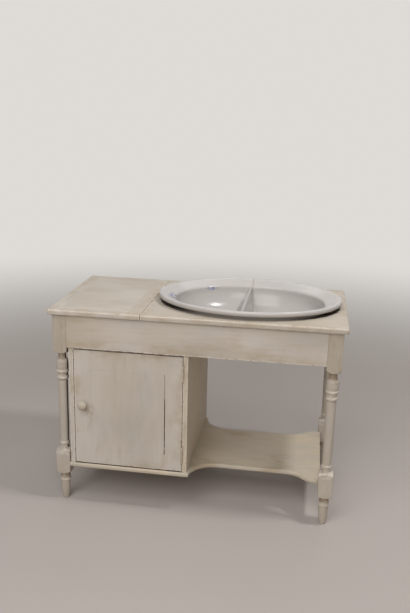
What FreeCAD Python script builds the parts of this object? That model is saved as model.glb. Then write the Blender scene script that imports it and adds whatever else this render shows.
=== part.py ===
import FreeCAD, Part
import math
import os

from FreeCAD import Matrix, Placement, Rotation, Vector

# Painted pine washstand in millimetres: a lidded well on the left, a divided oval basin let into
# the top on the right, a cupboard with one door under the lid and an open shelf under the basin.
# X runs to the right, Y to the back and Z up, from the floor under the middle of the top.

# Clearances, and how far a cut runs past the face it opens
wood_fit = 0.15
screw_fit = 0.1
pin_fit = 0.05
turning_gap = 0.3
seat_gap = 0.3
lid_gap = 0.3
door_gap = 2.0
seam_gap = 2.5
cut_past = 1.0

# Basin: one oval porcelain casting, sizes across its short axis unless they say length
rim_length = 646.0
rim_width = 480.0
rim_height = 30.5
lip_depth = 19.0
lip_round = 5.0
lip_crown = 11.0
lip_fall = 4.0
flange_width = 45.0
flange_drop = 22.5
seat_inset = 24.0
seat_shoulder = 6.0
bowl_depth = 88.0
bowl_floor_width = 256.0
bowl_floor_dish = 4.0
inner_wall_swell = 21.0
outer_wall_swell = 17.0
basin_wall = 10.0
foot_ring_width = 12.0
foot_ring_height = 5.0
partition_offset = -13.0
partition_top_thickness = 11.0
partition_foot_thickness = 54.0
partition_hollow = 6.0
partition_drop = 1.5
partition_round = 5.0

# Top: a hinged lid on the left and a fixed board with the basin's oval on the right
lid_width = 320.0
rim_to_seam = 13.5
rim_to_end = 18.0
rim_to_front = 15.0
oval_end_gap = 11.0
top_height = 718.0
top_thickness = 19.0
top_overhang = 14.0
top_corner = 6.0
top_nosing = 7.0
top_under_round = 5.0
cleat_width = 45.0
cleat_tongue = 10.0
cleat_tongue_thickness = 6.0

# Aprons
apron_depth = 116.0
apron_thickness = 20.0
apron_setback = 0.6
tenon_thickness = 9.0
tenon_length = 22.0
tenon_lower_shoulder = 14.0
tenon_upper_shoulder = 18.0
glue_block_side = 26.0
glue_block_length = 70.0

# Turned legs, heights from the floor below the shaft and drops from the upper block above it
leg_square = 49.0
leg_arris = 2.0
block_below_apron = 20.0
bead_half_height = 6.0
foot_tip_diameter = 23.0
foot_tip_round = 4.0
foot_top_diameter = 32.0
foot_swell = 1.8
foot_bead_height = 75.0
foot_bead_half_height = 5.0
foot_bead_diameter = 39.0
foot_bead_neck_diameter = 35.0
ankle_diameter = 33.0
ankle_hollow = 1.0
lower_block_bottom = 107.0
lower_block_top = 199.0
shoulder_fall = 12.0
shoulder_swell = 5.0
pommel_fall = 14.0
pommel_swell = 4.0
pommel_neck_diameter = 31.0
shaft_bead_height = 220.0
shaft_bead_diameter = 36.0
shaft_lower_diameter = 30.5
shaft_upper_diameter = 33.5
shaft_swell = 0.8
shaft_cove = 10.0
shaft_cove_hollow = 1.4
ring_diameter = 42.5
ring_drop = 95.0
waist_diameter = 37.5
waist_hollow = 0.8
collar_diameter = 44.5
collar_drop = 72.0
bulb_foot_diameter = 40.0
bulb_diameter = 42.0
bulb_shoulder_drop = 44.0
bulb_body_swell = 0.9
bulb_top_diameter = 29.0
bulb_top_drop = 26.0
bulb_dome_swell = 3.0
neck_diameter = 30.0
neck_hollow = 1.4
neck_top_drop = 5.0

# Cupboard
side_thickness = 16.0
side_gap = 3.0
cupboard_opening = 384.0
face_setback = 9.0
ceiling_thickness = 14.0
back_thickness = 12.0
back_inset = 3.0
back_board_names = ("lower", "middle", "upper")
back_board_gap = 0.6
housing_depth = 5.0
housing_stop = 12.0
divider_thickness = 18.0
nail_head_diameter = 5.0
nail_head_thickness = 1.0
nail_diameter = 2.4
nail_length = 32.0
nail_inset = 28.0

# Bottom board, which is also the open shelf
shelf_top = 151.0
shelf_thickness = 16.0
shelf_nosing = 6.0
shelf_lip = 8.0
scoop_radius = 90.0
wave_length = 115.0
corner_housing = 7.0

# Door
door_thickness = 20.0
stile_width = 60.0
top_rail_width = 74.0
bottom_rail_width = 58.0
rail_tenon_length = 32.0
rail_tenon_thickness = 7.0
rail_tenon_shoulder = 11.0
panel_groove_depth = 8.0
panel_groove_width = 6.0
panel_setback = 7.0
panel_gap = 0.2
panel_crack = 1.5
door_arris = 1.2
stop_width = 12.0
stop_depth = 12.0
stop_gap = 0.5

# Knob and the turn button behind it
knob_height = 374.0
knob_diameter = 32.0
knob_neck_diameter = 14.0
knob_foot_diameter = 19.0
knob_projection = 22.0
knob_neck_out = 9.0
knob_edge_out = 14.0
knob_foot_edge = 1.0
knob_neck_hollow = 0.9
knob_flare_hollow = 1.5
spindle_diameter = 8.0
spindle_socket = 12.0
spindle_head_diameter = 12.0
spindle_head_thickness = 2.0
button_reach = 27.0
button_width = 16.0
button_thickness = 8.0

# Butt hinges, one pattern for the door and the lid
hinge_length = 64.0
leaf_thickness = 2.0
leaf_width = 17.0
knuckle_diameter = 7.2
knuckle_play = 0.3
pin_diameter = 3.0
pin_head_diameter = 4.6
pin_head_thickness = 1.0
hinge_proud = 0.4
hinge_screw_length = 12.0
hinge_screw_diameter = 3.2
hinge_screw_head_diameter = 6.2
hinge_screw_inset = 14.0
door_hinge_inset = 64.0
lid_hinge_inset = 60.0

# Places worked out from the sizes
oval_ratio = rim_length / rim_width
top_width = lid_width + seam_gap + rim_to_seam + rim_length + rim_to_end
top_depth = rim_width + 2 * rim_to_front
top_left = -top_width / 2
top_right = top_width / 2
lid_right = top_left + lid_width
fixed_left = lid_right + seam_gap
seam_x = (lid_right + fixed_left) / 2
basin_x = fixed_left + rim_to_seam + rim_length / 2
top_under = top_height - top_thickness
leg_outer_x = top_right - top_overhang
leg_outer_y = top_depth / 2 - top_overhang
leg_inner_x = leg_outer_x - leg_square
leg_inner_y = leg_outer_y - leg_square
apron_bottom = top_under - apron_depth
apron_outer_x = leg_outer_x - apron_setback
apron_outer_y = leg_outer_y - apron_setback
apron_inner_x = apron_outer_x - apron_thickness
apron_inner_y = apron_outer_y - apron_thickness
ceiling_top = apron_bottom + ceiling_thickness
shelf_under = shelf_top - shelf_thickness
side_left_outer = side_gap - leg_inner_x
opening_left = side_left_outer + side_thickness
opening_right = opening_left + cupboard_opening
side_right_outer = opening_right + side_thickness
face_y = face_setback - leg_outer_y
back_face_y = leg_outer_y - back_inset
side_back_y = back_face_y - back_thickness
door_left = opening_left + door_gap
door_right = opening_right - door_gap
door_bottom = shelf_top + door_gap
door_top = apron_bottom - door_gap
door_back_y = face_y + door_thickness
knob_x = door_left + stile_width / 2
knuckle_radius = knuckle_diameter / 2
hinge_axis_drop = knuckle_radius + hinge_proud


class Outline:
    """A half section drawn upwards beside an axis: r is the distance from the axis."""

    def __init__(self, r, z):
        self.r = r
        self.z = z
        self.start = (r, z)
        self.edges = []

    def line(self, r, z):
        self.edges.append(Part.makeLine(Vector(self.r, 0, self.z), Vector(r, 0, z)))
        self.r = r
        self.z = z

    def arc(self, r, z, swell):
        """An arc whose middle stands off its chord, outwards when swell is positive."""
        step_r = r - self.r
        step_z = z - self.z
        chord = math.hypot(step_r, step_z)
        middle_r = (self.r + r) / 2 + swell * step_z / chord
        middle_z = (self.z + z) / 2 - swell * step_r / chord
        points = [Vector(self.r, 0, self.z), Vector(middle_r, 0, middle_z), Vector(r, 0, z)]
        self.edges.append(Part.Arc(*points).toShape())
        self.r = r
        self.z = z

    def bead(self, upper_diameter, height, diameter):
        """A rounded ring as thick as its height over the outline so far, closing in to the upper diameter."""
        rest = (self.r + upper_diameter / 2) / 2
        self.arc(upper_diameter / 2, 2 * height - self.z, diameter / 2 - rest)

    def turned(self):
        """The closed outline spun about the axis."""
        self.line(*self.start)
        return Part.Face(Part.Wire(self.edges)).revolve(Vector(0, 0, 0), Vector(0, 0, 1), 360)


def level_swell(run, rise):
    """How far an arc stands off its chord when one of its ends is level."""
    return math.hypot(run, rise) / 2 * math.tan(math.atan2(rise, run) / 2)


def block(x0, x1, y0, y1, z0, z1):
    return Part.makeBox(x1 - x0, y1 - y0, z1 - z0, Vector(x0, y0, z0))


def prism(points, z0, z1):
    """A straight-sided outline in plan, carried from z0 up to z1."""
    corners = [Vector(x, y, z0) for x, y in points]
    face = Part.Face(Part.makePolygon(corners + corners[:1]))
    return face.extrude(Vector(0, 0, z1 - z0))


def rod(diameter, start, direction, length):
    return Part.makeCylinder(diameter / 2, length, start, direction)


def grown(box, by):
    """The room that a joint leaves round a straight-sided piece."""
    size = box.BoundBox
    low = Vector(size.XMin - by, size.YMin - by, size.ZMin - by)
    return Part.makeBox(size.XLength + 2 * by, size.YLength + 2 * by, size.ZLength + 2 * by, low)


def level_edges(shape, z):
    return [edge for edge in shape.Edges if all(abs(v.Z - z) < 1e-6 for v in edge.Vertexes)]


def upright_edges(shape):
    """Straight edges that run from bottom to top."""
    height = shape.BoundBox.ZLength
    return [edge for edge in shape.Edges if abs(edge.BoundBox.ZLength - height) < 1e-6]


def mirrored(shape, axis):
    return shape.mirror(Vector(0, 0, 0), axis)


# Top

def top_slab(z0):
    """The whole top in one piece with its rounded edge, before the seam is cut."""
    slab = block(top_left, top_right, -top_depth / 2, top_depth / 2, z0, top_height)
    slab = slab.makeFillet(top_corner, upright_edges(slab))
    slab = slab.makeFillet(top_nosing, level_edges(slab, top_height))
    return slab.makeFillet(top_under_round, level_edges(slab, z0))


def slab_between(slab, x0, x1):
    return slab.common(block(x0, x1, -top_depth, top_depth, 0, 2 * top_height))


def oval(length, width, z0, z1):
    ellipse = Part.Ellipse(Vector(basin_x, 0, z0), length / 2, width / 2).toShape()
    return Part.Face(Part.Wire(ellipse)).extrude(Vector(0, 0, z1 - z0))


def fixed_top():
    board = slab_between(top_slab(top_under), fixed_left, top_right)
    seat_width = rim_width - 2 * seat_inset
    oval_length = seat_width * oval_ratio + 2 * oval_end_gap
    return board.cut(oval(oval_length, seat_width + 2 * seat_gap, 0, 2 * top_height))


def cleat_tongues(field_x, fit):
    """The tongues that hold the lid's end cleats, one at each end of the field."""
    middle_z = (top_under + lid_gap + top_height) / 2
    low = middle_z - cleat_tongue_thickness / 2 - fit
    high = middle_z + cleat_tongue_thickness / 2 + fit
    half_y = top_depth / 2 - cleat_width + fit
    reach = cleat_tongue + fit
    left = block(field_x[0] - reach, field_x[0], -half_y, half_y, low, high)
    right = block(field_x[1], field_x[1] + reach, -half_y, half_y, low, high)
    return left, right


def lid_pieces(hinges):
    """The lid's field and the two cross cleats that keep it flat."""
    slab = top_slab(top_under + lid_gap)
    field_x = (top_left + cleat_width, lid_right - cleat_width)
    tongues = cleat_tongues(field_x, 0)
    grooves = cleat_tongues(field_x, wood_fit)
    field = slab_between(slab, *field_x).fuse(list(tongues)).removeSplitter()
    for hinge in hinges:
        field = field.cut([hinge["moving_gain"], hinge["relief"]])
    left = slab_between(slab, top_left, field_x[0]).cut(grooves[0])
    right = slab_between(slab, field_x[1], lid_right).cut(grooves[1])
    return field, left, right


# Legs and aprons

def turned_leg():
    """A square blank with the turning taken out of it, standing on its own axis."""
    block_bottom = apron_bottom - block_below_apron
    ring_z = block_bottom - ring_drop
    collar_z = block_bottom - collar_drop
    corner = leg_square / math.sqrt(2)
    half = bead_half_height
    turning = Outline(0, 0)
    turning.line(foot_tip_diameter / 2 - foot_tip_round, 0)
    turning.arc(foot_tip_diameter / 2, foot_tip_round, level_swell(foot_tip_round, foot_tip_round))
    turning.arc(foot_top_diameter / 2, foot_bead_height - foot_bead_half_height, foot_swell)
    turning.bead(foot_bead_neck_diameter, foot_bead_height, foot_bead_diameter)
    turning.arc(ankle_diameter / 2, lower_block_bottom, -ankle_hollow)
    turning.arc(corner, lower_block_bottom + shoulder_fall, shoulder_swell)
    turning.line(corner, lower_block_top - pommel_fall)
    turning.arc(pommel_neck_diameter / 2, lower_block_top, pommel_swell)
    turning.line(shaft_lower_diameter / 2, shaft_bead_height - half)
    turning.bead(shaft_lower_diameter, shaft_bead_height, shaft_bead_diameter)
    turning.arc(shaft_upper_diameter / 2, ring_z - half - shaft_cove, shaft_swell)
    turning.arc(waist_diameter / 2, ring_z - half, -shaft_cove_hollow)
    turning.bead(waist_diameter, ring_z, ring_diameter)
    turning.arc(waist_diameter / 2, collar_z - half, -waist_hollow)
    turning.bead(bulb_foot_diameter, collar_z, collar_diameter)
    turning.arc(bulb_diameter / 2, block_bottom - bulb_shoulder_drop, bulb_body_swell)
    turning.arc(bulb_top_diameter / 2, block_bottom - bulb_top_drop, bulb_dome_swell)
    turning.arc(neck_diameter / 2, block_bottom - neck_top_drop, -neck_hollow)
    turning.arc(corner, block_bottom + shoulder_fall, shoulder_swell)
    turning.line(corner, top_under)
    turning.line(0, top_under)
    half_square = leg_square / 2
    blank = block(-half_square, half_square, -half_square, half_square, 0, top_under)
    blank = blank.makeFillet(leg_arris, upright_edges(blank))
    return blank.common(turning.turned())


def apron_tenons():
    """The tenons at the right front corner: the front apron's, then the end apron's."""
    tenon_inset = (apron_thickness - tenon_thickness) / 2
    low = apron_bottom + tenon_lower_shoulder
    high = top_under - tenon_upper_shoulder
    outer_y = -apron_outer_y + tenon_inset
    outer_x = apron_outer_x - tenon_inset
    front = block(leg_inner_x, leg_inner_x + tenon_length, outer_y, outer_y + tenon_thickness, low, high)
    end = block(outer_x - tenon_thickness, outer_x, -leg_inner_y - tenon_length, -leg_inner_y, low, high)
    return front, end


def front_right_leg():
    half_square = leg_square / 2
    leg = turned_leg()
    leg.translate(Vector(leg_outer_x - half_square, half_square - leg_outer_y, 0))
    notch_x = leg_inner_x + corner_housing
    notch_y = -leg_inner_y - corner_housing
    notch = block(leg_inner_x, notch_x, notch_y, -leg_inner_y, shelf_under, shelf_top)
    notch = grown(notch, wood_fit)
    mortises = [grown(tenon, wood_fit) for tenon in apron_tenons()]
    return leg.cut([notch] + mortises)


def divider_ends():
    """The stretches of the well's divider that stand in housings in the front and back aprons."""
    x0 = seam_x - divider_thickness / 2
    x1 = seam_x + divider_thickness / 2
    back = block(x0, x1, apron_inner_y, apron_inner_y + housing_depth, ceiling_top, top_under)
    return mirrored(back, Vector(0, 1, 0)), back


def front_apron():
    board = block(-leg_inner_x, leg_inner_x, -apron_outer_y, -apron_inner_y, apron_bottom, top_under)
    tenon = apron_tenons()[0]
    board = board.fuse([tenon, mirrored(tenon, Vector(1, 0, 0))]).removeSplitter()
    return board.cut(grown(divider_ends()[0], wood_fit))


def back_apron(hinges):
    board = block(-leg_inner_x, leg_inner_x, apron_inner_y, apron_outer_y, apron_bottom, top_under)
    tenon = mirrored(apron_tenons()[0], Vector(0, 1, 0))
    board = board.fuse([tenon, mirrored(tenon, Vector(1, 0, 0))]).removeSplitter()
    return board.cut([grown(divider_ends()[1], wood_fit)] + [hinge["fixed_gain"] for hinge in hinges])


def right_apron():
    board = block(apron_inner_x, apron_outer_x, -leg_inner_y, leg_inner_y, apron_bottom, top_under)
    tenon = apron_tenons()[1]
    return board.fuse([tenon, mirrored(tenon, Vector(0, 1, 0))]).removeSplitter()


def glue_blocks():
    """Three-cornered blocks glued in the angle between the fixed top and the aprons."""
    half = glue_block_length / 2
    along_front = [leg_inner_x - half - side_gap, fixed_left + divider_thickness + half]
    corners = [Vector(0, 0, 0), Vector(0, glue_block_side, 0), Vector(0, 0, -glue_block_side)]
    wedge = Part.Face(Part.makePolygon(corners + corners[:1])).extrude(Vector(glue_block_length, 0, 0))
    blocks = []
    for middle in along_front:
        front = wedge.copy()
        front.translate(Vector(middle - half, -apron_inner_y, top_under))
        blocks += [front, mirrored(front, Vector(0, 1, 0))]
    end = wedge.copy()
    end.rotate(Vector(0, 0, 0), Vector(0, 0, 1), 90)
    end.translate(Vector(apron_inner_x, side_gap - leg_inner_y, top_under))
    blocks += [end, mirrored(end, Vector(0, 1, 0))]
    return blocks


# Bottom board and cupboard

def side_tongue(inner_x):
    """The stretch of a cupboard side that stands in its housing in the bottom board."""
    x1 = inner_x + side_thickness
    return block(inner_x, x1, face_y + housing_stop, side_back_y, shelf_top - housing_depth, shelf_top)


def bottom_board():
    """Full depth under the cupboard, then scooped back to a narrow shelf between the right legs."""
    tip_x = side_right_outer + shelf_lip
    scoop_x = tip_x + scoop_radius
    wave_x = leg_inner_x - wave_length
    end_x = leg_inner_x + corner_housing
    edge_y = leg_inner_y + corner_housing
    scoop_y = leg_outer_y - scoop_radius
    rise = (edge_y - scoop_y) / 2
    radius = (wave_length ** 2 / 4 + rise ** 2) / (2 * rise)
    quarter = math.asin(wave_length / 2 / radius) / 2
    along = radius * math.sin(quarter)
    across = radius - radius * math.cos(quarter)
    middle = Vector((wave_x + leg_inner_x) / 2, scoop_y + rise, 0)
    hollow = Vector(wave_x + along, scoop_y + across, 0)
    swell = Vector(leg_inner_x - along, edge_y - across, 0)
    scoop_diagonal = scoop_radius / math.sqrt(2)
    scoop_middle = Vector(scoop_x - scoop_diagonal, leg_outer_y - scoop_diagonal, 0)
    tip = Vector(tip_x, leg_outer_y, 0)
    scoop_end = Vector(scoop_x, scoop_y, 0)
    wave_start = Vector(wave_x, scoop_y, 0)
    wave_end = Vector(leg_inner_x, edge_y, 0)
    half_outline = [
        Part.makeLine(Vector(-end_x, 0, 0), Vector(-end_x, edge_y, 0)),
        Part.makeLine(Vector(-end_x, edge_y, 0), Vector(-leg_inner_x, edge_y, 0)),
        Part.makeLine(Vector(-leg_inner_x, edge_y, 0), Vector(-leg_inner_x, leg_outer_y, 0)),
        Part.makeLine(Vector(-leg_inner_x, leg_outer_y, 0), tip),
        Part.Arc(tip, scoop_middle, scoop_end).toShape(),
        Part.makeLine(scoop_end, wave_start),
        Part.Arc(wave_start, hollow, middle).toShape(),
        Part.Arc(middle, swell, wave_end).toShape(),
        Part.makeLine(wave_end, Vector(end_x, edge_y, 0)),
        Part.makeLine(Vector(end_x, edge_y, 0), Vector(end_x, 0, 0)),
    ]
    other_half = [mirrored(edge, Vector(0, 1, 0)) for edge in half_outline]
    outline = Part.Wire(Part.__sortEdges__(half_outline + other_half))
    board = Part.Face(outline).extrude(Vector(0, 0, shelf_thickness))
    board.translate(Vector(0, 0, shelf_under))

    def shows(edge):
        size = edge.BoundBox
        return size.XMax > 1e-3 - leg_inner_x and size.XMin < leg_inner_x - 1e-3

    nosing = [edge for z in (shelf_under, shelf_top) for edge in level_edges(board, z) if shows(edge)]
    board = board.makeFillet(shelf_nosing, nosing)
    housings = [grown(side_tongue(x), wood_fit) for x in (side_left_outer, opening_right)]
    return board.cut(housings)


def cupboard_side(outer_left, hinge_gains, nails):
    side = block(outer_left, outer_left + side_thickness, face_y, side_back_y, shelf_top, apron_bottom)
    side = side.fuse(side_tongue(outer_left)).removeSplitter()
    return side.cut(hinge_gains + nails)


def cupboard_ceiling():
    """The cupboard's ceiling and the well's floor in one board, notched round the left legs."""
    left = -apron_inner_x
    notch_x = -leg_inner_x + turning_gap
    notch_y = leg_inner_y - turning_gap
    outline = [
        (left, -notch_y), (notch_x, -notch_y), (notch_x, -apron_inner_y), (side_right_outer, -apron_inner_y),
        (side_right_outer, apron_inner_y), (notch_x, apron_inner_y), (notch_x, notch_y), (left, notch_y),
    ]
    return prism(outline, apron_bottom, ceiling_top)


def well_divider():
    x0 = seam_x - divider_thickness / 2
    x1 = seam_x + divider_thickness / 2
    board = block(x0, x1, -apron_inner_y, apron_inner_y, ceiling_top, top_under)
    return board.fuse(list(divider_ends())).removeSplitter()


def back_board_levels():
    """The lower and upper edge of each back board, from the bottom board up."""
    pitch = (apron_bottom - shelf_top) / len(back_board_names)
    lows = [shelf_top + i * pitch for i in range(len(back_board_names))]
    return [(low, low + pitch - back_board_gap) for low in lows]


def nail(x, z, fit):
    """A nail driven forwards through a back board into the back edge of a cupboard side."""
    start = Vector(x, back_face_y, z)
    forwards = Vector(0, -1, 0)
    head = rod(nail_head_diameter + 2 * fit, start, forwards, nail_head_thickness + fit)
    shank = rod(nail_diameter + 2 * fit, start, forwards, nail_length + fit)
    return head.fuse(shank)


def nail_rows():
    """Nail places by cupboard side: two nails at each end of every back board."""
    middles = (side_left_outer + side_thickness / 2, opening_right + side_thickness / 2)
    heights = [z for low, high in back_board_levels() for z in (low + nail_inset, high - nail_inset)]
    return [[(x, z) for z in heights] for x in middles]


def back_boards(nails):
    boards = []
    for low, high in back_board_levels():
        board = block(side_left_outer, side_right_outer, side_back_y, back_face_y, low, high)
        boards.append(board.cut(nails))
    return boards


# Hinges

def hinge_screw(z, side, fit):
    """A countersunk screw driven along Z away from the hinge's gap, at the middle of a leaf."""
    head = hinge_screw_head_diameter / 2 + fit
    shank = hinge_screw_diameter / 2 + fit
    up = Vector(0, 0, side)
    start = Vector(0, 0, z)
    cone = Part.makeCone(head, shank, leaf_thickness, start, up)
    tip_length = hinge_screw_diameter
    straight = hinge_screw_length - tip_length + fit
    tip = Part.makeCone(shank, shank / 4, tip_length, start + up * straight, up)
    return cone.fuse([rod(2 * shank, start, up, straight), tip]).removeSplitter()


def butt_hinge(gap, place):
    """Both leaves, the pin and the screws of one hinge, and the room that they take in the wood.

    The pin lies along X through the origin, the leaves reach to -Y, the fixed one below the moving one.
    """
    half = hinge_length / 2
    third = hinge_length / 3
    near_y = -knuckle_radius - hinge_proud
    far_y = near_y - leaf_width
    knuckles = {"moving": [(-third / 2, third / 2)], "fixed": [(-half, -third / 2), (third / 2, half)]}
    bore = rod(pin_diameter + 2 * pin_fit, Vector(-half, 0, 0), Vector(1, 0, 0), hinge_length)
    screw_x = (-half + hinge_screw_inset, half - hinge_screw_inset)
    pieces = {}
    for name, side in (("moving", 1), ("fixed", -1)):
        face_z = side * gap / 2
        back_z = face_z + side * leaf_thickness
        low = min(face_z, back_z)
        high = max(face_z, back_z)
        leaf = block(-half, half, far_y, near_y, low, high)
        rolls = []
        for x0, x1 in knuckles[name]:
            x0 = x0 if abs(x0) == half else x0 + knuckle_play / 2
            x1 = x1 if abs(x1) == half else x1 - knuckle_play / 2
            rolls.append(rod(knuckle_diameter, Vector(x0, 0, 0), Vector(1, 0, 0), x1 - x0))
            rolls.append(block(x0, x1, near_y, 0, low, high))
        leaf = leaf.fuse(rolls).removeSplitter().cut(bore)
        screws = []
        holes = []
        for x in screw_x:
            spot = Vector(x, (near_y + far_y) / 2, 0)
            screw = hinge_screw(face_z, side, 0)
            hole = hinge_screw(face_z, side, screw_fit)
            screw.translate(spot)
            hole.translate(spot)
            screws.append(screw)
            holes.append(hole)
        gain = grown(block(-half, half, far_y, -screw_fit, low, high), screw_fit)
        pieces[name] = leaf.cut(holes)
        pieces[name + "_screws"] = Part.makeCompound(screws)
        pieces[name + "_gain"] = gain.fuse(holes)
    pin = rod(pin_diameter, Vector(-half, 0, 0), Vector(1, 0, 0), hinge_length)
    ends = (Vector(-half, 0, 0), Vector(half, 0, 0))
    heads = [rod(pin_head_diameter, end, end, pin_head_thickness) for end in ends]
    pieces["pin"] = pin.fuse(heads).removeSplitter()
    room = knuckle_radius + hinge_proud
    end = half + pin_head_thickness + turning_gap
    pieces["relief"] = block(-end, end, -room, top_overhang, -room, room)
    for shape in pieces.values():
        shape.Placement = place
    return pieces


def door_hinges():
    """Knuckles stand in front of the right-hand gap beside the door."""
    upright = Rotation(Vector(1, 0, -1), 180)
    axis_x = (door_right + opening_right) / 2
    heights = (door_bottom + door_hinge_inset, door_top - door_hinge_inset)
    places = [Placement(Vector(axis_x, face_y - hinge_axis_drop, z), upright) for z in heights]
    return [butt_hinge(door_gap, place) for place in places]


def lid_hinges():
    """Knuckles lie behind the back apron, under the lid's back overhang."""
    axis_y = apron_outer_y + hinge_axis_drop
    axis_z = top_under + lid_gap / 2
    spots = (top_left + cleat_width + lid_hinge_inset, lid_right - cleat_width - lid_hinge_inset)
    return [butt_hinge(lid_gap, Placement(Vector(x, axis_y, axis_z), Rotation())) for x in spots]


# Door

def door_pieces(hinges, bore):
    """Two stiles, two rails tenoned between them and a flush panel held in grooves."""
    inner_left = door_left + stile_width
    inner_right = door_right - stile_width
    inner_low = door_bottom + bottom_rail_width
    inner_high = door_top - top_rail_width

    def rebate(reach, fit):
        """A plate in the plane of the groove that runs past the frame's opening on all four sides."""
        y0 = face_y + panel_setback + fit
        y1 = face_y + panel_setback + panel_groove_width - fit
        return block(inner_left - reach, inner_right + reach, y0, y1, inner_low - reach, inner_high + reach)

    groove = rebate(panel_groove_depth, 0)
    tongue = rebate(panel_groove_depth - panel_gap, wood_fit)
    tenon_y0 = face_y + (door_thickness - rail_tenon_thickness) / 2
    tenon_y1 = tenon_y0 + rail_tenon_thickness
    rails = []
    mortises = []
    for low, high in ((inner_high, door_top), (door_bottom, inner_low)):
        rail = block(inner_left, inner_right, face_y, door_back_y, low, high)
        z0 = low + rail_tenon_shoulder
        z1 = high - rail_tenon_shoulder
        left = block(inner_left - rail_tenon_length, inner_left, tenon_y0, tenon_y1, z0, z1)
        right = block(inner_right, inner_right + rail_tenon_length, tenon_y0, tenon_y1, z0, z1)
        mortises += [grown(left, wood_fit), grown(right, wood_fit)]
        rails.append(rail.fuse([left, right]).removeSplitter().cut(groove))
    lock_stile = block(door_left, inner_left, face_y, door_back_y, door_bottom, door_top)
    hinge_stile = block(inner_right, door_right, face_y, door_back_y, door_bottom, door_top)
    lock_stile = lock_stile.makeFillet(door_arris, front_arris(lock_stile, door_left))
    hinge_stile = hinge_stile.makeFillet(door_arris, front_arris(hinge_stile, door_right))
    lock_stile = lock_stile.cut([groove, bore] + mortises)
    hinge_stile = hinge_stile.cut([groove] + mortises + [hinge["moving_gain"] for hinge in hinges])
    field_left = inner_left + panel_gap
    field_right = inner_right - panel_crack
    field_low = inner_low + panel_gap
    field_high = inner_high - panel_gap
    field = block(field_left, field_right, face_y, tongue.BoundBox.YMax, field_low, field_high)
    panel = field.fuse(tongue).removeSplitter()
    return lock_stile, hinge_stile, rails[0], rails[1], panel


def front_arris(stile, outer_x):
    """The long front edge on the outer side of a stile."""
    def at_front(edge):
        return all(abs(v.X - outer_x) < 1e-6 and abs(v.Y - face_y) < 1e-6 for v in edge.Vertexes)
    return [edge for edge in stile.Edges if at_front(edge)]


def door_stop():
    """A strip on the cupboard's left side that the door shuts against and the turn button catches."""
    y0 = door_back_y + stop_gap
    return block(opening_left, opening_left + stop_width, y0, y0 + stop_depth, shelf_top, apron_bottom)


# Knob

def on_door(shape):
    """Stand a piece that was made along Z on the knob's axis, pointing out of the door."""
    shape.Placement = Placement(Vector(knob_x, face_y, knob_height), Rotation(Vector(1, 0, 0), 90))
    return shape


def knob():
    head = knob_diameter / 2
    neck = knob_neck_diameter / 2
    foot = knob_foot_diameter / 2
    shape = Outline(0, turning_gap)
    shape.line(foot, turning_gap)
    shape.line(foot, turning_gap + knob_foot_edge)
    shape.arc(neck, knob_neck_out, -knob_neck_hollow)
    shape.arc(head, knob_edge_out, -knob_flare_hollow)
    shape.arc(0, knob_projection, level_swell(head, knob_projection - knob_edge_out))
    turned = shape.turned()
    socket = rod(spindle_diameter + 2 * pin_fit, Vector(0, 0, 0), Vector(0, 0, 1), spindle_socket + pin_fit)
    return on_door(turned.cut(socket))


def button_level():
    """How far behind the door's face the turn button lies, so that it swings behind the stop."""
    return door_thickness + stop_gap + stop_depth + stop_gap


def spindle():
    start = -(button_level() + button_thickness)
    shaft = rod(spindle_diameter, Vector(0, 0, start), Vector(0, 0, 1), spindle_socket - start)
    head = rod(spindle_head_diameter, Vector(0, 0, start), Vector(0, 0, -1), spindle_head_thickness)
    return on_door(shaft.fuse(head).removeSplitter())


def spindle_bore():
    start = Vector(0, 0, cut_past)
    bore = rod(spindle_diameter + 2 * pin_fit, start, Vector(0, 0, -1), door_thickness + 2 * cut_past)
    return on_door(bore)


def turn_button():
    """An upright bar with round ends at rest, so that the door is free to open."""
    half = button_width / 2
    straight = button_reach - half
    low = -(button_level() + button_thickness)
    outwards = Vector(0, 0, 1)
    bar = block(-half, half, -straight, straight, low, low + button_thickness)
    ends = [rod(button_width, Vector(0, y, low), outwards, button_thickness) for y in (-straight, straight)]
    start = Vector(0, 0, low - cut_past)
    bore = rod(spindle_diameter + 2 * pin_fit, start, outwards, button_thickness + 2 * cut_past)
    return on_door(bar.fuse(ends).removeSplitter().cut(bore))


# Basin

def partition_wall(low, high):
    """The ridge between the bowls, with hollow sides that spread towards its foot."""
    top = partition_top_thickness / 2
    foot = partition_foot_thickness / 2
    waist = (top + foot) / 2 - partition_hollow
    waist_z = (low + high) / 2
    reach = rim_width / 2

    def point(x, z):
        return Vector(partition_offset + x, -reach, z)

    section = [
        Part.makeLine(point(-foot, low), point(foot, low)),
        Part.Arc(point(foot, low), point(waist, waist_z), point(top, high)).toShape(),
        Part.makeLine(point(top, high), point(-top, high)),
        Part.Arc(point(-top, high), point(-waist, waist_z), point(-foot, low)).toShape(),
    ]
    wall = Part.Face(Part.Wire(section)).extrude(Vector(0, 2 * reach, 0))
    crest_edges = [e for e in level_edges(wall, high) if e.BoundBox.YLength > reach]
    return wall.makeFillet(min(partition_round, top * 0.9), crest_edges)


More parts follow.
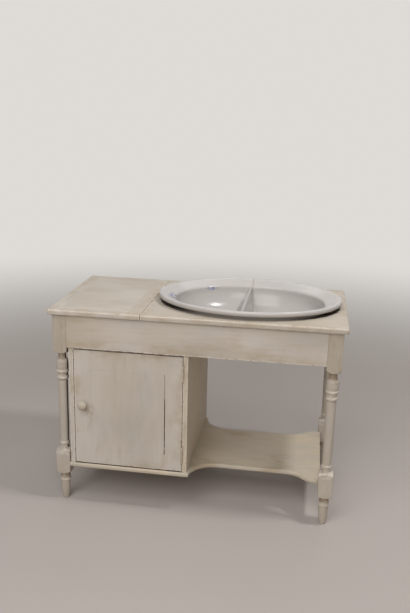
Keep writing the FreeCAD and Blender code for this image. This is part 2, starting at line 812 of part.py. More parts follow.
def wash_basin():
    """Outside and hollow are turned round, then drawn out to an oval along X, and the ridge stays in."""
    edge = rim_width / 2
    crest = top_height + rim_height
    break_z = crest - flange_drop
    floor_z = top_height - bowl_depth
    floor_r = bowl_floor_width / 2
    base_r = floor_r + basin_wall
    base_z = floor_z - basin_wall
    lip_r = edge - lip_round
    lip_z = crest - lip_depth
    neck_r = edge - seat_inset + seat_shoulder
    quarter = level_swell(lip_round, lip_round)
    outer = Outline(0, base_z)
    outer.line(base_r - foot_ring_width, base_z)
    outer.line(base_r - foot_ring_width, base_z - foot_ring_height)
    outer.line(base_r, base_z - foot_ring_height)
    outer.line(base_r, base_z)
    outer.arc(edge - seat_inset, top_height, outer_wall_swell)
    outer.line(neck_r, top_height + seat_shoulder)
    outer.line(neck_r, lip_z)
    outer.line(lip_r, lip_z)
    outer.arc(edge, lip_z + lip_round, quarter)
    outer.line(edge, crest - lip_round)
    outer.arc(lip_r, crest, quarter)
    outer.line(0, crest)
    inner = Outline(0, floor_z - bowl_floor_dish)
    inner.arc(floor_r, floor_z, level_swell(floor_r, bowl_floor_dish))
    inner.arc(edge - flange_width, break_z, inner_wall_swell)
    inner.line(lip_r - lip_crown, crest - lip_fall)
    inner.arc(lip_r, crest, -level_swell(lip_crown, lip_fall))
    inner.line(lip_r, crest + lip_fall)
    inner.line(0, crest + lip_fall)
    stretch = Matrix()
    stretch.scale(oval_ratio, 1, 1)
    hollow = inner.turned().transformGeometry(stretch)
    hollow = hollow.cut(partition_wall(base_z, break_z - partition_drop))
    basin = outer.turned().transformGeometry(stretch).cut(hollow)
    basin.translate(Vector(basin_x, 0, 0))
    return basin


def build():
    """Every piece by its name: one solid, or a list of like ones."""
    of_door = door_hinges()
    of_lid = lid_hinges()
    left_nails, right_nails = nail_rows()
    nails = [nail(x, z, 0) for x, z in left_nails + right_nails]
    left_holes = [nail(x, z, screw_fit) for x, z in left_nails]
    right_holes = [nail(x, z, screw_fit) for x, z in right_nails]
    left_to_right = Vector(1, 0, 0)
    front_to_back = Vector(0, 1, 0)
    leg = front_right_leg()
    field, left_cleat, right_cleat = lid_pieces(of_lid)
    lock_stile, hinge_stile, top_rail, bottom_rail, panel = door_pieces(of_door, spindle_bore())
    end_apron = right_apron()
    pieces = {
        "front_right_leg": leg,
        "front_left_leg": mirrored(leg, left_to_right),
        "back_right_leg": mirrored(leg, front_to_back),
        "back_left_leg": mirrored(mirrored(leg, left_to_right), front_to_back),
        "front_apron": front_apron(),
        "back_apron": back_apron(of_lid),
        "right_apron": end_apron,
        "left_apron": mirrored(end_apron, left_to_right),
        "fixed_top": fixed_top(),
        "top_glue_blocks": glue_blocks(),
        "bottom_board": bottom_board(),
        "cupboard_left_side": cupboard_side(side_left_outer, [], left_holes),
        "cupboard_right_side": cupboard_side(opening_right, [h["fixed_gain"] for h in of_door], right_holes),
        "cupboard_ceiling": cupboard_ceiling(),
        "well_divider": well_divider(),
        "back_board_nails": nails,
        "door_stop": door_stop(),
        "door_lock_stile": lock_stile,
        "door_hinge_stile": hinge_stile,
        "door_top_rail": top_rail,
        "door_bottom_rail": bottom_rail,
        "door_panel": panel,
        "door_knob": knob(),
        "knob_spindle": spindle(),
        "turn_button": turn_button(),
        "lid_field": field,
        "lid_left_cleat": left_cleat,
        "lid_right_cleat": right_cleat,
        "wash_basin": wash_basin(),
    }
    for level, board in zip(back_board_names, back_boards(left_holes + right_holes)):
        pieces["back_board_" + level] = board
    for owner, hinges in (("door", of_door), ("lid", of_lid)):
        pieces[owner + "_hinge_pins"] = [hinge["pin"] for hinge in hinges]
        for half in ("fixed", "moving"):
            screws = [screw for hinge in hinges for screw in hinge[half + "_screws"].Solids]
            pieces[owner + "_hinge_" + half + "_leaves"] = [hinge[half] for hinge in hinges]
            pieces[owner + "_hinge_" + half + "_screws"] = screws
    return pieces


def main():
    os.makedirs("parts", exist_ok=True)
    for name, piece in build().items():
        shape = Part.makeCompound(piece) if isinstance(piece, list) else piece
        shape.exportStep("parts/" + name + ".step")


if __name__ == "__main__":
    main()
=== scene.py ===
import math

import bpy
from mathutils import Matrix, Vector


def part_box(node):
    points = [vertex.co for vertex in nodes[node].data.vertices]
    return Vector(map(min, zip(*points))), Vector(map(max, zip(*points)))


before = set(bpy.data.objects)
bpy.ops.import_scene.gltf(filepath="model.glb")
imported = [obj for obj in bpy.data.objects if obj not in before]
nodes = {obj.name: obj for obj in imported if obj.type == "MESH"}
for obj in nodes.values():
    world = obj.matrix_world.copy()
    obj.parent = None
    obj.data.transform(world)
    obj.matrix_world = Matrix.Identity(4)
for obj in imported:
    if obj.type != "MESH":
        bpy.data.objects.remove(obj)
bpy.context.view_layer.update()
millimetre = 0.001

# How far to either side of a face its finish is drawn, so that the whole face gets it
skin = 0.5 * millimetre

# Camera, in a picture of 410 by 613: it stands to the right of the middle and looks down on the top. In an
# upright picture, the sensor's width runs along the height
picture_height = 613
focal_pixels = 720.5
film_height = 36.0
camera_place = Vector((0.3606, -2.4649, 1.3898))
camera_turn = math.radians(-8.323)
camera_dip = math.radians(15.683)
camera_lean = math.radians(1.433)

# Lamps: place, width, depth and watts. Each one looks at the middle of the stand
lamp_aim = Vector((0.0, 0.0, 0.45))
lamps = {
    "overhead_lamp": ((-0.8, -2.3, 4.0), 2.4, 1.8, 44.0),
    "front_lamp": ((-0.3, -3.5, 2.4), 4.0, 2.0, 88.0),
    "back_lamp": ((0.2, 2.2, 3.8), 3.0, 1.6, 22.0),
    "right_lamp": ((1.31, -0.35, 2.9), 0.3, 0.3, 29.0),
}
sky_light = "#6E6C6A"
sky_seen = "#DEDBD7"

# Floor: its width, and how far from the middle it starts and ends to fade into the sky
floor_width = 40.0
floor_fade = (1.2, 4.5)

# Basin: the grid that it is drawn on, the seams that are merged first, and how much the glaze melts its creases
basin_grid = 0.0034
seam_gap = 0.00002
melt_strength = 0.5
melt_rounds = 14
lip_underside = 0.7305
lip_crest = 0.7465

# How far out in the basin's oval a change starts and ends, where 1 is the lip's edge. The painted shade's edge
# is frayed by up to a share of that, and its darker ends are measured along the oval's length alone
bowl_shade_edge = (0.79, 0.83)
neck_edge = (0.88, 0.89)
lip_edge = (0.965, 0.985)
under_lip_shade_edge = (0.985, 0.995)
under_lip_shade_fray = 0.012
shaded_ends = (0.35, 0.85)

# A hairline crack runs across the back of the flange. It is drawn wider than a real one, so that it shows
crack_x = 0.1535
crack_front = 0.19
crack_fade = 0.004
crack_wander = 0.004
crack_half_width = (0.0003, 0.0008)
crack_stain = 0.007

# Two sprigs are painted on the inside. A sprig has a place in metres, a turn in degrees about X and Z, and a
# size. Its dabs are ovals in millimetres: where the middle is, the turn in degrees, half the length and half
# the width. A dab is deep enough to meet the slope that it is painted on, and soft towards its edge
sprigs = {
    "left": ((-0.112, -0.045, 0.7315), (0, 98), 1.5),
    "back": ((0.006, 0.1525, 0.7195), (90, 4), 0.7),
}
sprig_dabs = (
    (8, 0, 10, 5.5, 4.0), (1, 6, 80, 5.0, 3.8), (-6, 2, 165, 5.0, 4.0), (-4, -5, 230, 5.0, 3.6),
    (4, -6, 300, 5.0, 3.8), (20, 3, 25, 8.0, 2.4), (24, -6, -30, 7.0, 2.2), (-19, -3, 200, 8.0, 2.4),
    (-24, 6, 150, 7.0, 2.0), (31, -1, -10, 6.0, 1.4), (-31, 1, 175, 6.0, 1.4),
)
dab_depth = 18.0
dab_edge = (0.7, 1.05)

# Heights on the legs, in millimetres: rings painted paler, hollows that hold dirt, each with
# half its height, and the feet and heads of the pommels and the upper blocks
leg_rings = (75.0, 220.0, 468.0, 491.0)
ring_half = 6.0
leg_hollows = ((96.0, 12.0), (546.0, 14.0))
pommel_foot, pommel_head = 184.0, 201.0
block_foot, block_head = 575.0, 695.0

# Painted shade: nearly black in narrow gaps, and brown in the gap at the door's foot
gap_shade = "#3B2F24"
door_foot_shade = "#4A3B2D"

iron_pieces = (
    "back_board_nails", "knob_spindle", "door_hinge_pins", "door_hinge_fixed_screws",
    "door_hinge_moving_screws", "lid_hinge_pins", "lid_hinge_fixed_screws", "lid_hinge_moving_screws",
)
hinge_leaves = (
    "door_hinge_fixed_leaves", "door_hinge_moving_leaves", "lid_hinge_fixed_leaves", "lid_hinge_moving_leaves",
)
left_legs = ("front_left_leg", "back_left_leg")
right_legs = ("front_right_leg", "back_right_leg")
back_boards = ("back_board_lower", "back_board_middle", "back_board_upper")
lid_cleats = ("lid_left_cleat", "lid_right_cleat")
door_boards = ("door_lock_stile", "door_hinge_stile", "door_top_rail", "door_bottom_rail", "door_panel")


def joined_box(names):
    """The lowest and highest corners of several nodes together."""
    boxes = [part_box(name) for name in names]
    low = Vector([min(box[0][axis] for box in boxes) for axis in range(3)])
    high = Vector([max(box[1][axis] for box in boxes) for axis in range(3)])
    return low, high


def open_box(name, open_low, open_high):
    """A node's box, pushed out by metres on the sides that run into other pieces."""
    low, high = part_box(name)
    return low - Vector(open_low), high + Vector(open_high)


# Materials

def linear(code):
    """A #rrggbb colour as the linear values that a shader takes."""
    parts = [int(code[i:i + 2], 16) / 255 for i in (1, 3, 5)]
    return [p / 12.92 if p <= 0.04045 else ((p + 0.055) / 1.055) ** 2.4 for p in parts] + [1.0]


def add(tree, kind, inputs=(), **settings):
    """Adds a node. Its inputs come in order or by name: a number, a vector, a #rrggbb colour, or the node
    or socket that feeds it."""
    made = tree.nodes.new("ShaderNode" + kind)
    for name, value in settings.items():
        setattr(made, name, value)
    for key, value in inputs.items() if isinstance(inputs, dict) else enumerate(inputs):
        named = [s for s in made.inputs if s.enabled and s.name == key]
        socket = named[0] if named else made.inputs[key]
        if isinstance(value, bpy.types.Node):
            value = next(s for s in value.outputs if s.enabled)
        if isinstance(value, bpy.types.NodeSocket):
            tree.links.new(value, socket)
        else:
            socket.default_value = linear(value) if isinstance(value, str) else value
    return made


def blank_material(name):
    """A material with nothing in it but the object's own coordinates."""
    material = bpy.data.materials.new(name)
    material.use_nodes = True
    tree = material.node_tree
    tree.nodes.clear()
    return material, tree, add(tree, "TexCoord").outputs["Object"]


def coated(material, inputs):
    """Ends a material with its shader."""
    shader = add(material.node_tree, "BsdfPrincipled", inputs)
    add(material.node_tree, "OutputMaterial", {"Surface": shader})
    return material


def along(grain, length, width):
    """The size of a mark that is drawn out along the grain."""
    return [length if axis == grain else width for axis in "xyz"]


def patches(tree, place, size, low, high, full=1.0, detail=3.0):
    """Soft-edged patches of a size in millimetres: none where the noise is under low, full where over high."""
    scaled = add(tree, "Mapping", {"Vector": place, "Scale": [1 / (s * millimetre) for s in size]})
    noise = add(tree, "TexNoise", {"Vector": scaled, "Scale": 1.0, "Detail": detail, "Roughness": 0.55})
    return add(tree, "MapRange", (noise, low, high, 0.0, full), interpolation_type="SMOOTHSTEP")


def both(tree, covers):
    """Where all of several covers are."""
    product = covers[0]
    for cover in covers[1:]:
        product = add(tree, "Math", (product, cover), operation="MULTIPLY")
    return product


def lay_coats(tree, colour, coats):
    """Lays colours over each other in order. A cover is 1 where its colour hides what is under it."""
    for cover, over in coats:
        colour = add(tree, "Mix", {"Factor": cover, "A": colour, "B": over}, data_type="RGBA")
    return colour


def depths(tree, place, box):
    """How far a point lies inside a box along each axis."""
    low, high = box
    from_middle = add(tree, "VectorMath", (place, (low + high) / 2), operation="SUBTRACT")
    distance = add(tree, "VectorMath", (from_middle,), operation="ABSOLUTE")
    within = add(tree, "VectorMath", ((high - low) / 2, distance), operation="SUBTRACT")
    return add(tree, "SeparateXYZ", (within,)).outputs


def inside(tree, place, box):
    """1 within a box, 0 outside it."""
    x, y, z = depths(tree, place, box)
    nearer = add(tree, "Math", (x, y), operation="MINIMUM")
    nearest = add(tree, "Math", (nearer, z), operation="MINIMUM")
    return add(tree, "Math", (nearest, 0.0), operation="GREATER_THAN")


def height_band(tree, place, middle, half):
    """A level band round a height, both in millimetres, that fades out over the outer half of its reach."""
    height = add(tree, "SeparateXYZ", (place,)).outputs["Z"]
    off = add(tree, "Math", (height, middle * millimetre), operation="SUBTRACT")
    distance = add(tree, "Math", (off,), operation="ABSOLUTE")
    reach = half * millimetre
    return add(tree, "MapRange", (distance, reach / 2, reach, 1.0, 0.0), interpolation_type="SMOOTHSTEP")


def box_arrises(tree, place, box):
    """Straight boards wear where two faces of their box meet: the arris itself, and a broad strip beside it."""
    worn, whole, strip = 0.001, 0.0045, 0.055
    x, y, z = depths(tree, place, box)
    lesser = add(tree, "Math", (x, y), operation="MINIMUM")
    greater = add(tree, "Math", (x, y), operation="MAXIMUM")
    capped = add(tree, "Math", (greater, z), operation="MINIMUM")
    second = add(tree, "Math", (lesser, capped), operation="MAXIMUM")
    arris = add(tree, "MapRange", (second, worn, whole, 1.0, 0.0), interpolation_type="SMOOTHSTEP")
    beside = add(tree, "MapRange", (second, 0.0, strip, 1.0, 0.0), interpolation_type="SMOOTHSTEP")
    return arris, beside


def rounded_arrises(tree):
    """Shaped pieces wear where a normal rounded over 3 mm, or over 14 mm, leaves the true one. The cosine
    between the two is 1 on a flat face."""
    flat = 0.99
    true = add(tree, "NewGeometry").outputs["Normal"]
    wear = []
    for reach, worn in ((3 * millimetre, 0.8), (14 * millimetre, 0.7)):
        rounded = add(tree, "Bevel", (reach,), samples=8)
        cosine = add(tree, "VectorMath", (rounded, true), operation="DOT_PRODUCT").outputs["Value"]
        wear.append(add(tree, "MapRange", (cosine, flat, worn, 0.0, 1.0), interpolation_type="SMOOTHSTEP"))
    return wear


def pine_colour(tree, place, grain):
    """Old unpainted pine: dull honey brown, with darker summer growth in long lines, broad bands of heartwood
    and a grey bloom of dust. It gives the lines of summer growth as well."""
    lines = patches(tree, place, along(grain, 600, 5.5), 0.38, 0.68)
    heart = patches(tree, place, along(grain, 900, 55), 0.40, 0.62, 0.6)
    dust = patches(tree, place, along(grain, 160, 90), 0.35, 0.75, 0.6)
    summer = add(tree, "Math", (lines, 0.55), operation="MULTIPLY")
    coats = [(heart, "#8C6A47"), (summer, "#775536"), (dust, "#8B755B")]
    return lay_coats(tree, "#A28260", coats), lines


def unpainted_places(tree, place):
    """The cupboard's inside, the well and the frame under the basin, which the brush never reached. The
    edge towards the front is ragged, as a brush leaves it."""
    lap = 14 * millimetre
    wall = 10 * millimetre
    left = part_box("cupboard_left_side")[1].x - skin
    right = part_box("cupboard_right_side")[0].x + skin
    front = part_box("door_panel")[1].y + lap
    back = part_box("back_board_lower")[0].y + wall
    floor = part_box("bottom_board")[1].z - skin
    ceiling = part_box("cupboard_ceiling")[0].z + skin
    under_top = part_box("lid_field")[0].z + skin
    frame_low = Vector((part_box("left_apron")[1].x - wall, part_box("front_apron")[1].y - wall, ceiling))
    frame_high = Vector((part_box("right_apron")[0].x + wall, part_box("back_apron")[0].y + wall, under_top))
    cupboard = inside(tree, place, (Vector((left, front, floor)), Vector((right, back, ceiling))))
    depth = add(tree, "SeparateXYZ", (place,)).outputs["Y"]
    ragged = patches(tree, place, (18, 18, 18), 0.3, 0.7, lap)
    unbrushed = add(tree, "Math", (depth, ragged), operation="SUBTRACT")
    past_brush = add(tree, "Math", (unbrushed, front), operation="GREATER_THAN")
    well = inside(tree, place, (frame_low, frame_high))
    return add(tree, "Math", (both(tree, [cupboard, past_brush]), well), operation="MAXIMUM")


def door_marks(tree, place):
    """Brown smears under the door's top edge, finger dirt beside the knob, chips along the hinges, and painted
    shade in the gaps over and under the door and in the lower part of the gap beside the shrunk panel."""
    low, high = joined_box(door_boards)
    axes = add(tree, "SeparateXYZ", (place,)).outputs

    smear_end, smear_full = 0.04, 0.004
    under_top = add(tree, "MapRange", (axes["Z"], high.z - smear_end, high.z - smear_full, 0.0, 1.0))
    chip_end, chip_full = 0.0045, 0.001
    by_hinges = add(tree, "MapRange", (axes["X"], high.x - chip_end, high.x - chip_full, 0.0, 1.0))

    knob_low, knob_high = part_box("door_knob")
    finger_right, finger_down = 0.016, 0.018
    finger_full, finger_end = 0.006, 0.036
    grip_x = (knob_low.x + knob_high.x) / 2 + finger_right
    grip_z = (knob_low.z + knob_high.z) / 2 - finger_down
    away = add(tree, "VectorMath", (place, (grip_x, low.y, grip_z)), operation="DISTANCE").outputs["Value"]
    by_knob = add(tree, "MapRange", (away, finger_full, finger_end, 0.6, 0.0), interpolation_type="SMOOTHSTEP")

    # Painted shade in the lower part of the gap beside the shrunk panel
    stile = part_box("door_hinge_stile")[0].x
    panel_tongue = 0.008
    gap_left, gap_right, gap_front = 0.0024, 0.0009, 0.001
    gap_share = 0.62
    gap_low = Vector((stile - gap_left, low.y - gap_front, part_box("door_panel")[0].z + panel_tongue))
    gap_high = Vector((stile + gap_right, high.y, low.z + gap_share * (high.z - low.z)))
    by_panel = inside(tree, place, (gap_low, gap_high))

    # Painted shade in the gaps: a dark strip along the door's top, under the apron, and along its foot
    head_end, head_full = 0.0070, 0.0055
    over_door = add(tree, "MapRange", (axes["Z"], high.z - head_end, high.z - head_full, 0.0, 0.9))
    foot_end, foot_full = 0.0025, 0.0012
    under_door = add(tree, "MapRange", (axes["Z"], low.z + foot_end, low.z + foot_full, 0.0, 0.85))
    return [
        (both(tree, [under_top, patches(tree, place, (70, 70, 40), 0.50, 0.68, 0.6)]), "#A18E70"),
        (both(tree, [by_knob, patches(tree, place, (9, 9, 12), 0.3, 0.6)]), "#8F7F6B"),
        (both(tree, [by_hinges, patches(tree, place, (5, 5, 22), 0.5, 0.58, 0.8)]), "#5E4A36"),
        (both(tree, [by_panel, patches(tree, place, (9, 9, 22), 0.36, 0.46, 0.85)]), gap_shade),
        (over_door, gap_shade),
        (under_door, door_foot_shade),
    ]


def apron_marks(tree, place):
    """Tan rubbing in long level streaks, more towards the lower edge, and duller paint at the left end."""
    dull_length = 0.25
    low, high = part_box("front_apron")
    axes = add(tree, "SeparateXYZ", (place,)).outputs
    lower = add(tree, "MapRange", (axes["Z"], low.z, high.z, 1.0, 0.35))
    return [
        (add(tree, "MapRange", (axes["X"], low.x, low.x + dull_length, 0.55, 0.0)), "#A8967C"),
        (both(tree, [lower, patches(tree, place, (150, 30, 12), 0.48, 0.74, 0.5)]), "#AC9475"),
    ]


def leg_marks(tree, place):
    """Paler rings and pommels, dirt in the turned hollows, drips of darker glaze on the upper blocks, and
    painted shade on the left legs' side towards the cupboard, in the narrow gap beside it."""
    blocks = height_band(tree, place, (block_foot + block_head) / 2, block_head - block_foot)
    pommels = height_band(tree, place, (pommel_foot + pommel_head) / 2, pommel_head - pommel_foot)
    marks = [
        (both(tree, [blocks, patches(tree, place, (60, 60, 60), 0.2, 0.6, 0.22)]), "#8A7B66"),
        (both(tree, [blocks, patches(tree, place, (11, 11, 80), 0.55, 0.72, 0.55)]), "#8F7F65"),
        (both(tree, [pommels, patches(tree, place, (14, 14, 10), 0.46, 0.56, 0.6)]), "#CEC5BA"),
    ]
    for middle, half in leg_hollows:
        dirt = patches(tree, place, (14, 14, 18), 0.25, 0.5, 0.6)
        marks.append((both(tree, [height_band(tree, place, middle, half), dirt]), "#7C654B"))
    for height in leg_rings:
        rubbed = patches(tree, place, (12, 12, 12), 0.3, 0.55, 0.7)
        marks.append((both(tree, [height_band(tree, place, height, ring_half), rubbed]), "#CAC0B3"))
    # Painted shade on the left legs' side that faces the cupboard, in the narrow gap
    low, high = joined_box(left_legs)
    low.z, high.z = pommel_head * millimetre, block_foot * millimetre
    half_turned, turned = 0.86, 0.92
    facing = add(tree, "SeparateXYZ", (add(tree, "NewGeometry").outputs["Normal"],)).outputs["X"]
    cupboard_shade = add(tree, "MapRange", (facing, half_turned, turned, 0.0, 0.9))
    marks.append((both(tree, [cupboard_shade, inside(tree, place, (low, high))]), gap_shade))
    return marks


def bay_face_light(tree, place):
    """Paler, browner paint on the face towards the shelf bay: painted light, for a face that the lamps leave
    dark.
    """
    blend = 0.2 * millimetre
    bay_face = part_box("cupboard_right_side")[1].x - skin
    sideways = add(tree, "SeparateXYZ", (place,)).outputs["X"]
    return [(add(tree, "MapRange", (sideways, bay_face, bay_face + blend, 0.0, 0.55)), "#DCCCB4")]


def bottom_board_marks(tree, place):
    """Brown water stains on the shelf, painted shade on it towards the cupboard and the back, painted shade in
    the gap at the door's foot, and an underside that was never painted."""
    low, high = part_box("bottom_board")
    axes = add(tree, "SeparateXYZ", (place,)).outputs
    # Painted shade on the shelf: darker towards the cupboard and towards the back
    shade_left, shade_right = 0.0, 0.3
    shade_front, shade_back = -0.2, 0.05
    cupboard_shade = add(tree, "MapRange", (axes["X"], shade_left, shade_right, 0.5, 0.0))
    from_front = add(tree, "MapRange", (axes["Y"], shade_front, shade_back, 0.0, 1.0))
    top_skin = 0.8 * millimetre
    past_board = Vector((0.05, 0.05, 0.05))
    shelf_low = Vector((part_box("cupboard_right_side")[1].x, low.y, high.z - top_skin))
    shelf = inside(tree, place, (shelf_low, high + past_board))
    # Painted shade in the gap at the door's foot
    door_low, door_high = joined_box(door_boards)
    foot_reach = Vector((0.002, 0.003, 0.003))
    door_foot = door_low - foot_reach, Vector((door_high.x, door_high.y, door_low.z)) + foot_reach
    under_skin = Vector((0, 0, skin))
    under = low - under_skin, Vector((high.x, high.y, low.z)) + under_skin
    return [
        (patches(tree, place, (160, 90, 90), 0.50, 0.70, 0.6), "#A08C6E"),
        (both(tree, [shelf, cupboard_shade, from_front]), "#96836A"),
        (inside(tree, place, door_foot), door_foot_shade),
        (inside(tree, place, under), pine_colour(tree, place, "x")[0]),
    ]


def under_lip(tree, place):
    """How far out a point lies in the basin's oval, seen from above, which is 1 at the lip's edge, and the
    painted shade under the lip, darkest at the two ends. Height is divided by so much that it counts
    for nothing."""
    flattened = 1000.0
    low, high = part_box("wash_basin")
    half = (high - low) / 2
    oval = add(tree, "Mapping", {
        "Vector": place, "Location": (low + high) / 2, "Scale": (half.x, half.y, flattened),
    }, vector_type="TEXTURE")
    out = add(tree, "VectorMath", (oval,), operation="LENGTH").outputs["Value"]
    sideways = add(tree, "SeparateXYZ", (oval,)).outputs["X"]
    aside = add(tree, "Math", (sideways,), operation="ABSOLUTE")
    under_lip_shade = add(tree, "MapRange", (aside, *shaded_ends, 0.25, 0.95), interpolation_type="SMOOTHSTEP")
    return out, under_lip_shade


def fixed_top_marks(tree, place):
    """A ring of painted shade round the hole, under the basin's lip: nearly black, darkest at the two ends."""
    out, under_lip_shade = under_lip(tree, place)
    frayed = patches(tree, place, (30, 30, 30), 0.3, 0.7, under_lip_shade_fray)
    ragged = add(tree, "Math", (out, frayed), operation="ADD")
    ring = add(tree, "MapRange", (ragged, *under_lip_shade_edge, 1.0, 0.0))
    return [(both(tree, [ring, under_lip_shade]), "#2B231B")]


def chalk_paint(name, grain, box=None, marks=None, base="#C2B9AF"):
    """Chalk paint brushed on pine, rubbed back and handled for years: matt and milky, faintly streaked along
    the grain, tan where it is thin, polished paler on the arrises and chipped to brown there. The bristles'
    streaks are drawn 3 mm wide, which is wider than real ones, so that they show."""
    material, tree, place = blank_material("chalk_paint_" + name)
    strokes = patches(tree, place, along(grain, 170, 3.0), 0.35, 0.75, 1.0, 4.0)
    coats = [
        (patches(tree, place, along(grain, 420, 170), 0.36, 0.66, 0.8), "#B3A898"),
        (patches(tree, place, along(grain, 200, 70), 0.45, 0.72, 0.55), "#ACA59C"),
        (patches(tree, place, along(grain, 110, 32), 0.52, 0.78, 0.45), "#A79780"),
        (both(tree, [strokes, patches(tree, place, along(grain, 90, 40), 0.35, 0.7, 0.3)]), "#CAC3B9"),
    ]
    arris, beside = box_arrises(tree, place, box) if box else rounded_arrises(tree)
    tan = patches(tree, place, (70, 70, 70), 0.42, 0.66, 0.6)
    coats.append((both(tree, [beside, tan]), "#A5957F"))
    coats += marks(tree, place) if marks else []
    rubbed = patches(tree, place, (26, 26, 26), 0.3, 0.55, 0.8)
    coats.append((both(tree, [arris, rubbed]), "#D3C9BB"))
    chips = both(tree, [arris, patches(tree, place, (7, 7, 7), 0.60, 0.64, 0.85, 4.0)])
    coats.append((chips, "#6E5440"))
    coats.append((unpainted_places(tree, place), pine_colour(tree, place, grain)[0]))
    height = add(tree, "Math", (strokes, chips), operation="SUBTRACT")
    return coated(material, {
        "Base Color": lay_coats(tree, base, coats),
        "Roughness": add(tree, "MapRange", (strokes, 0.0, 1.0, 0.55, 0.70)),
        "Specular IOR Level": 0.3,
        "Normal": add(tree, "Bump", {
            "Height": height, "Strength": 0.25, "Distance": 0.3 * millimetre,
            "Normal": add(tree, "Bevel", (0.5 * millimetre,), samples=6),
        }),
    })


def aged_pine(grain):
    """Bare pine, planed by hand and never finished: dull brown, furrowed a little along the summer growth."""
    material, tree, place = blank_material("aged_pine_" + grain)
    wood, lines = pine_colour(tree, place, grain)
    bump = add(tree, "Bump", {"Height": lines, "Strength": 0.4, "Distance": 0.4 * millimetre})
    return coated(material, {"Base Color": wood, "Roughness": 0.72, "Normal": bump})


def rusted_iron():
    """Forged iron gone dull: nearly black, with brown rust in blotches."""
    material, tree, place = blank_material("rusted_iron")
    rust = patches(tree, place, (5, 5, 5), 0.42, 0.62)
    return coated(material, {
        "Base Color": lay_coats(tree, "#3B3632", [(rust, "#6B4429")]),
        "Roughness": add(tree, "MapRange", (rust, 0.0, 1.0, 0.45, 0.85)),
        "Metallic": add(tree, "MapRange", (rust, 0.0, 1.0, 0.9, 0.1)),
    })


def painted_iron():
    """Iron painted over with the wood: the same cream, chipped to rust along the edges that rub."""
    material, tree, place = blank_material("painted_iron")
    shade = patches(tree, place, (9, 9, 9), 0.3, 0.7)
    chips = both(tree, [rounded_arrises(tree)[0], patches(tree, place, (6, 6, 6), 0.45, 0.58)])
    return coated(material, {
        "Base Color": lay_coats(tree, "#B9AE9D", [(shade, "#A99B88"), (chips, "#5C4130")]),
        "Roughness": add(tree, "MapRange", (chips, 0.0, 1.0, 0.55, 0.8)),
    })


def painted_sprig(tree, place, spot, turn, size):
    """A blossom with leaves to both sides, each one a dab of the brush."""
    unit = size * millimetre
    tilt, spin = turn
    local = add(tree, "Mapping", {
        "Vector": place, "Location": spot, "Rotation": (math.radians(tilt), 0, math.radians(spin)),
        "Scale": (unit, unit, unit),
    }, vector_type="TEXTURE")
    cover = 0.0
    for x, y, angle, length, width in sprig_dabs:
        dab = add(tree, "Mapping", {
            "Vector": local, "Location": (x, y, 0), "Rotation": (0, 0, math.radians(angle)),
            "Scale": (length, width, dab_depth / size),
        }, vector_type="TEXTURE")
        away = add(tree, "VectorMath", (dab,), operation="LENGTH").outputs["Value"]
        edge = add(tree, "MapRange", (away, *dab_edge, 0.95, 0.0), interpolation_type="SMOOTHSTEP")
        cover = add(tree, "Math", (cover, edge), operation="MAXIMUM")
    return cover


def glazed_porcelain():
    """Hard white porcelain under a clear glaze: greyish and faintly uneven, softly mirroring the lamps, with
    sprigs in washed blue under the glaze, one stained hairline crack, and painted shade in the bowls, on the
    lip and below it."""
    material, tree, place = blank_material("glazed_porcelain")
    axes = add(tree, "SeparateXYZ", (place,)).outputs
    clouds = patches(tree, place, (130, 130, 130), 0.35, 0.7)
    wash = patches(tree, place, (5, 5, 5), 0.25, 0.7)
    blue = lay_coats(tree, "#5D6DA6", [(wash, "#2F3F78")])

    wander = patches(tree, place, (12, 12, 12), 0.2, 0.8, crack_wander)
    crack = add(tree, "Math", (wander, crack_x - crack_wander / 2), operation="ADD")
    off = add(tree, "Math", (axes["X"], crack), operation="SUBTRACT")
    distance = add(tree, "Math", (off,), operation="ABSOLUTE")
    behind = add(tree, "MapRange", (axes["Y"], crack_front - crack_fade, crack_front + crack_fade, 0.0, 1.0))
    hairline = add(tree, "MapRange", (distance, *crack_half_width, 0.6, 0.0))
    stain = add(tree, "MapRange", (distance, 0.0, crack_stain, 0.4, 0.0), interpolation_type="SMOOTHSTEP")

    out, under_lip_shade = under_lip(tree, place)
    # Painted shade inside the bowls: a greyer glaze towards the middle
    bowl_shade = add(tree, "MapRange", (out, *bowl_shade_edge, 0.45, 0.0), interpolation_type="SMOOTHSTEP")
    neck = add(tree, "MapRange", (out, *neck_edge, 0.0, 1.0))
    lip_face = add(tree, "MapRange", (out, *lip_edge, 0.0, 1.0))
    lip_shade = add(tree, "MapRange", (axes["Z"], lip_underside, lip_crest, 0.5, 0.0))
    neck_head, neck_full = lip_underside + millimetre, lip_underside - millimetre
    below_lip = add(tree, "MapRange", (axes["Z"], neck_full, neck_head, 1.0, 0.0))

    coats = [(clouds, "#B4B0AC"), (bowl_shade, "#A39F9B")]
    coats += [(painted_sprig(tree, place, *sprig), blue) for sprig in sprigs.values()]
    coats += [
        # Painted shade on the lip's outer face, darker towards its underside
        (both(tree, [lip_face, lip_shade]), "#8C8377"),
        # Painted shade under the lip, on the neck: nearly black, darkest at the two ends
        (both(tree, [below_lip, neck, under_lip_shade]), "#3B3229"),
        (both(tree, [stain, behind]), "#96908A"),
        (both(tree, [hairline, behind]), "#6F6963"),
    ]
    return coated(material, {
        "Base Color": lay_coats(tree, "#BAB4B0", coats),
        "Roughness": add(tree, "MapRange", (clouds, 0.0, 1.0, 0.14, 0.2)),
        "Specular IOR Level": 0.33,
    })


def soften_basin():
    """Draws the casting on an even grid and melts its creases, as a thick glaze does."""
    basin = nodes["wash_basin"]
    basin.modifiers.new("merge_seams", "WELD").merge_threshold = seam_gap
    grid = basin.modifiers.new("even_grid", "REMESH")
    grid.mode = "VOXEL"
    grid.voxel_size = basin_grid
    grid.use_smooth_shade = True
    melt = basin.modifiers.new("melted_glaze", "SMOOTH")
    melt.factor = melt_strength
    melt.iterations = melt_rounds


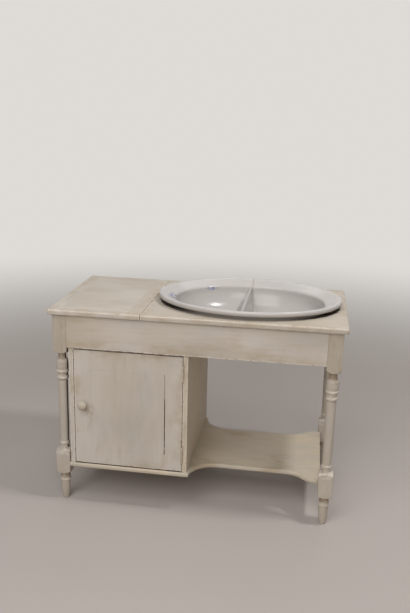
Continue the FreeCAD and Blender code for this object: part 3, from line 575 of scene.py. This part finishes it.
def finish_nodes():
    """Gives every CAD node its finish."""
    lid = joined_box(("lid_field",) + lid_cleats)
    door = joined_box(door_boards)
    back = joined_box(back_boards)
    finishes = {
        "lid_field": chalk_paint("lid_field", "x", lid, None, "#BFB6AB"),
        "fixed_top": chalk_paint("fixed_top", "x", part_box("fixed_top"), fixed_top_marks, "#B7ADA1"),
        "bottom_board": chalk_paint("bottom_board", "x", None, bottom_board_marks, "#C0B29C"),
        "door_knob": chalk_paint("knob", "z", None, None, "#B3A898"),
        "wash_basin": glazed_porcelain(),
    }
    for name in ("front_apron", "back_apron"):
        finishes[name] = chalk_paint(name, "x", open_box(name, (1, 0, 0), (1, 0, 1)), apron_marks)
    for name in ("left_apron", "right_apron"):
        finishes[name] = chalk_paint(name, "y", open_box(name, (0, 1, 0), (0, 1, 1)), apron_marks)
    # The right side's paler, browner base is painted light too, for its face towards the shelf bay
    for name, base in (("cupboard_left_side", "#BFB6AA"), ("cupboard_right_side", "#C9BAA4")):
        finishes[name] = chalk_paint(name, "z", open_box(name, (0, 0, 1), (0, 1, 1)), bay_face_light, base)
    alike = (
        (door_boards, chalk_paint("door", "z", door, door_marks)),
        (lid_cleats, chalk_paint("lid_cleats", "y", lid)),
        (left_legs + right_legs, chalk_paint("legs", "z", None, leg_marks, "#B0A598")),
        (back_boards, chalk_paint("back_boards", "x", back)),
        (("cupboard_ceiling", "top_glue_blocks"), aged_pine("x")),
        (("well_divider",), aged_pine("y")),
        (("door_stop", "turn_button"), aged_pine("z")),
        (iron_pieces, rusted_iron()),
        (hinge_leaves, painted_iron()),
    )
    for names, finish in alike:
        finishes.update(dict.fromkeys(names, finish))
    for name, node in nodes.items():
        node.data.materials.clear()
        node.data.materials.append(finishes[name])


# Stage

def seen_rays(tree):
    """1 for what the camera sees, straight, in a gloss or through glass, 0 for light that falls on things."""
    path = add(tree, "LightPath").outputs
    indirect = add(tree, "Math", (path["Is Glossy Ray"], path["Is Transmission Ray"]), operation="MAXIMUM")
    return add(tree, "Math", (path["Is Camera Ray"], indirect), operation="MAXIMUM")


def make_floor():
    """A plain pale floor that fades into the sky far off, so that no horizon shows."""
    bpy.ops.object.select_all(action="DESELECT")
    bpy.ops.mesh.primitive_plane_add(size=floor_width)
    floor = bpy.context.object
    floor.name = "studio_floor"
    material, tree, place = blank_material("pale_floor")
    away = add(tree, "VectorMath", (place,), operation="LENGTH").outputs["Value"]
    far = add(tree, "MapRange", (away, *floor_fade, 0.0, 1.0), interpolation_type="SMOOTHSTEP")
    near_shader = add(tree, "BsdfPrincipled", {"Base Color": "#B3ABA5", "Roughness": 0.8})
    far_shader = add(tree, "Emission", {"Color": sky_seen, "Strength": 1.0})
    faded = add(tree, "MixShader", (both(tree, [far, seen_rays(tree)]), near_shader, far_shader))
    add(tree, "OutputMaterial", {"Surface": faded})
    floor.data.materials.append(material)


def make_lights():
    """Soft lamps overhead, in front and behind, a small one to the right, and an even dim sky."""
    for name, (place, width, depth, watts) in lamps.items():
        bpy.ops.object.light_add(type="AREA", location=place)
        lamp = bpy.context.object
        lamp.name = name
        lamp.data.shape = "RECTANGLE"
        lamp.data.size = width
        lamp.data.size_y = depth
        lamp.data.energy = watts
        lamp.rotation_euler = (lamp_aim - lamp.location).to_track_quat("-Z", "Y").to_euler()
    world = bpy.data.worlds.new("even_sky")
    bpy.context.scene.world = world
    world.use_nodes = True
    tree = world.node_tree
    tree.nodes.clear()
    sky = lay_coats(tree, sky_light, [(seen_rays(tree), sky_seen)])
    add(tree, "OutputWorld", {"Surface": add(tree, "Background", {"Color": sky, "Strength": 1.0})})


def make_camera():
    """The camera, turned about the upright, dipped towards the stand and leaning a little to one side."""
    forward = Vector((math.sin(camera_turn) * math.cos(camera_dip),
                      math.cos(camera_turn) * math.cos(camera_dip), -math.sin(camera_dip)))
    level = Vector((math.cos(camera_turn), -math.sin(camera_turn), 0))
    upright = level.cross(forward)
    right = math.cos(camera_lean) * level + math.sin(camera_lean) * upright
    up = math.cos(camera_lean) * upright - math.sin(camera_lean) * level
    turned = Matrix((right, up, -forward)).transposed()
    bpy.ops.object.camera_add(location=camera_place, rotation=turned.to_euler())
    camera = bpy.context.object
    camera.data.sensor_width = film_height
    camera.data.lens = film_height * focal_pixels / picture_height
    bpy.context.scene.camera = camera


finish_nodes()
soften_basin()
make_floor()
make_lights()
make_camera()
bpy.context.scene.view_settings.view_transform = "Standard"
